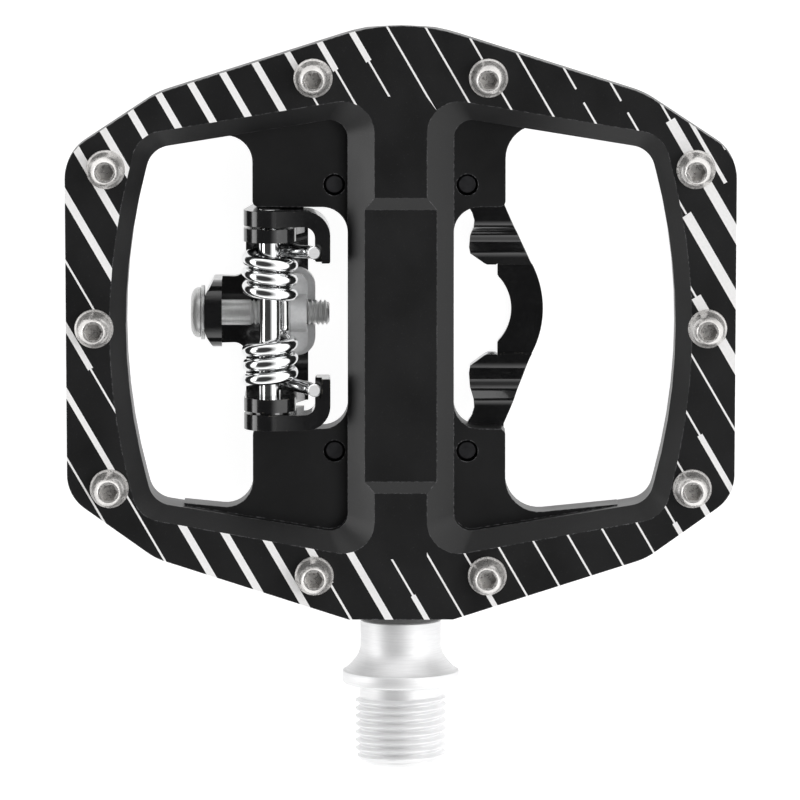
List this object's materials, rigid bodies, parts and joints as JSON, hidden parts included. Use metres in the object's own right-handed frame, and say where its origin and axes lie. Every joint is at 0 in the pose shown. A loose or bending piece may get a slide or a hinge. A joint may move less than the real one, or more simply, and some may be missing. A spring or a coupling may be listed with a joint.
{
  "type": "clipless pedal",
  "caption": "Right-hand mountain bike pedal: wide pinned platform frame with a sprung cleat binding on one side and a threaded spindle.",
  "frame": {"origin": "on the spindle's axis, at the collar face that seats on the crank", "axes": "+Y outboard along the spindle, +Z out of the flat side of the platform (the binding is on the -Z side), +X towards the fixed front claw"},
  "size_m": [0.1048, 0.1172, 0.0248],
  "materials": {
    "anodised": "black anodised, satin, with pale printed stripes on the flat face",
    "pin_steel": "bright plated, lightly turned",
    "spindle_steel": "pale satin, turned",
    "bearing_steel": "ground",
    "black_steel": "glossy black",
    "screw_steel": "black oxide",
    "bolt_steel": "zinc plated, satin",
    "nut_zinc": "zinc plated, matt",
    "spring_chrome": "bright chrome",
    "seal_rubber": "matt",
    "bushing_polymer": "matt",
    "cage_brass": "stamped"
  },
  "bodies": {
    "spindle": {"spindle": "spindle_steel", "bearing_inner_race": "bearing_steel", "axle_washer": "bearing_steel", "axle_locknut": "bearing_steel"},
    "platform": {"platform_body": "anodised", "pins_flat_side": "pin_steel", "pins_clip_side": "pin_steel", "inboard_seal": "seal_rubber", "inboard_bushing": "bushing_polymer", "bearing_outer_race": "bearing_steel", "bearing_shields": "seal_rubber", "end_cap": "anodised", "end_cap_ring": "seal_rubber", "front_claw": "black_steel", "front_claw_screws": "screw_steel", "pivot_brackets": "black_steel", "bracket_screws": "screw_steel", "pivot_pin": "spring_chrome", "torsion_spring": "spring_chrome"},
    "ball_set": {"bearing_balls": "bearing_steel", "bearing_cage": "cage_brass"},
    "claw": {"rear_claw": "black_steel", "bolt_washer": "bolt_steel"},
    "bolt": {"tension_bolt": "bolt_steel"},
    "nut": {"tension_nut": "nut_zinc"}
  },
  "joints": [
    {"name": "platform_spin", "type": "hinge", "parent": "spindle", "child": "platform", "pos_m": [0, 0.058, 0], "axis": [0, 1, 0], "continuous": true},
    {"name": "ball_orbit", "type": "hinge", "parent": "spindle", "child": "ball_set", "pos_m": [0, 0.088, 0], "axis": [0, 1, 0], "continuous": true},
    {"name": "claw_pivot", "type": "hinge", "parent": "platform", "child": "claw", "pos_m": [-0.0205, 0.058, 0.003], "axis": [0, 1, 0], "range_deg": [0, 12], "stiffness_Nm_per_rad": 2, "deforming": ["torsion_spring"]},
    {"name": "bolt_turn", "type": "hinge", "parent": "claw", "child": "bolt", "pos_m": [-0.02, 0.058, -0.0055], "axis": [1, 0, 0], "range_deg": [-1080, 720]},
    {"name": "nut_slide", "type": "slide", "parent": "claw", "child": "nut", "axis": [1, 0, 0], "range_m": [-0.0014, 0.0021], "deforming": ["torsion_spring"]}
  ],
  "couplings": [
    {"joint": "ball_orbit", "follows": "platform_spin", "ratio": 0.6056},
    {"joint": "bolt_turn", "follows": "nut_slide", "rad_per_m": -8976}
  ]
}
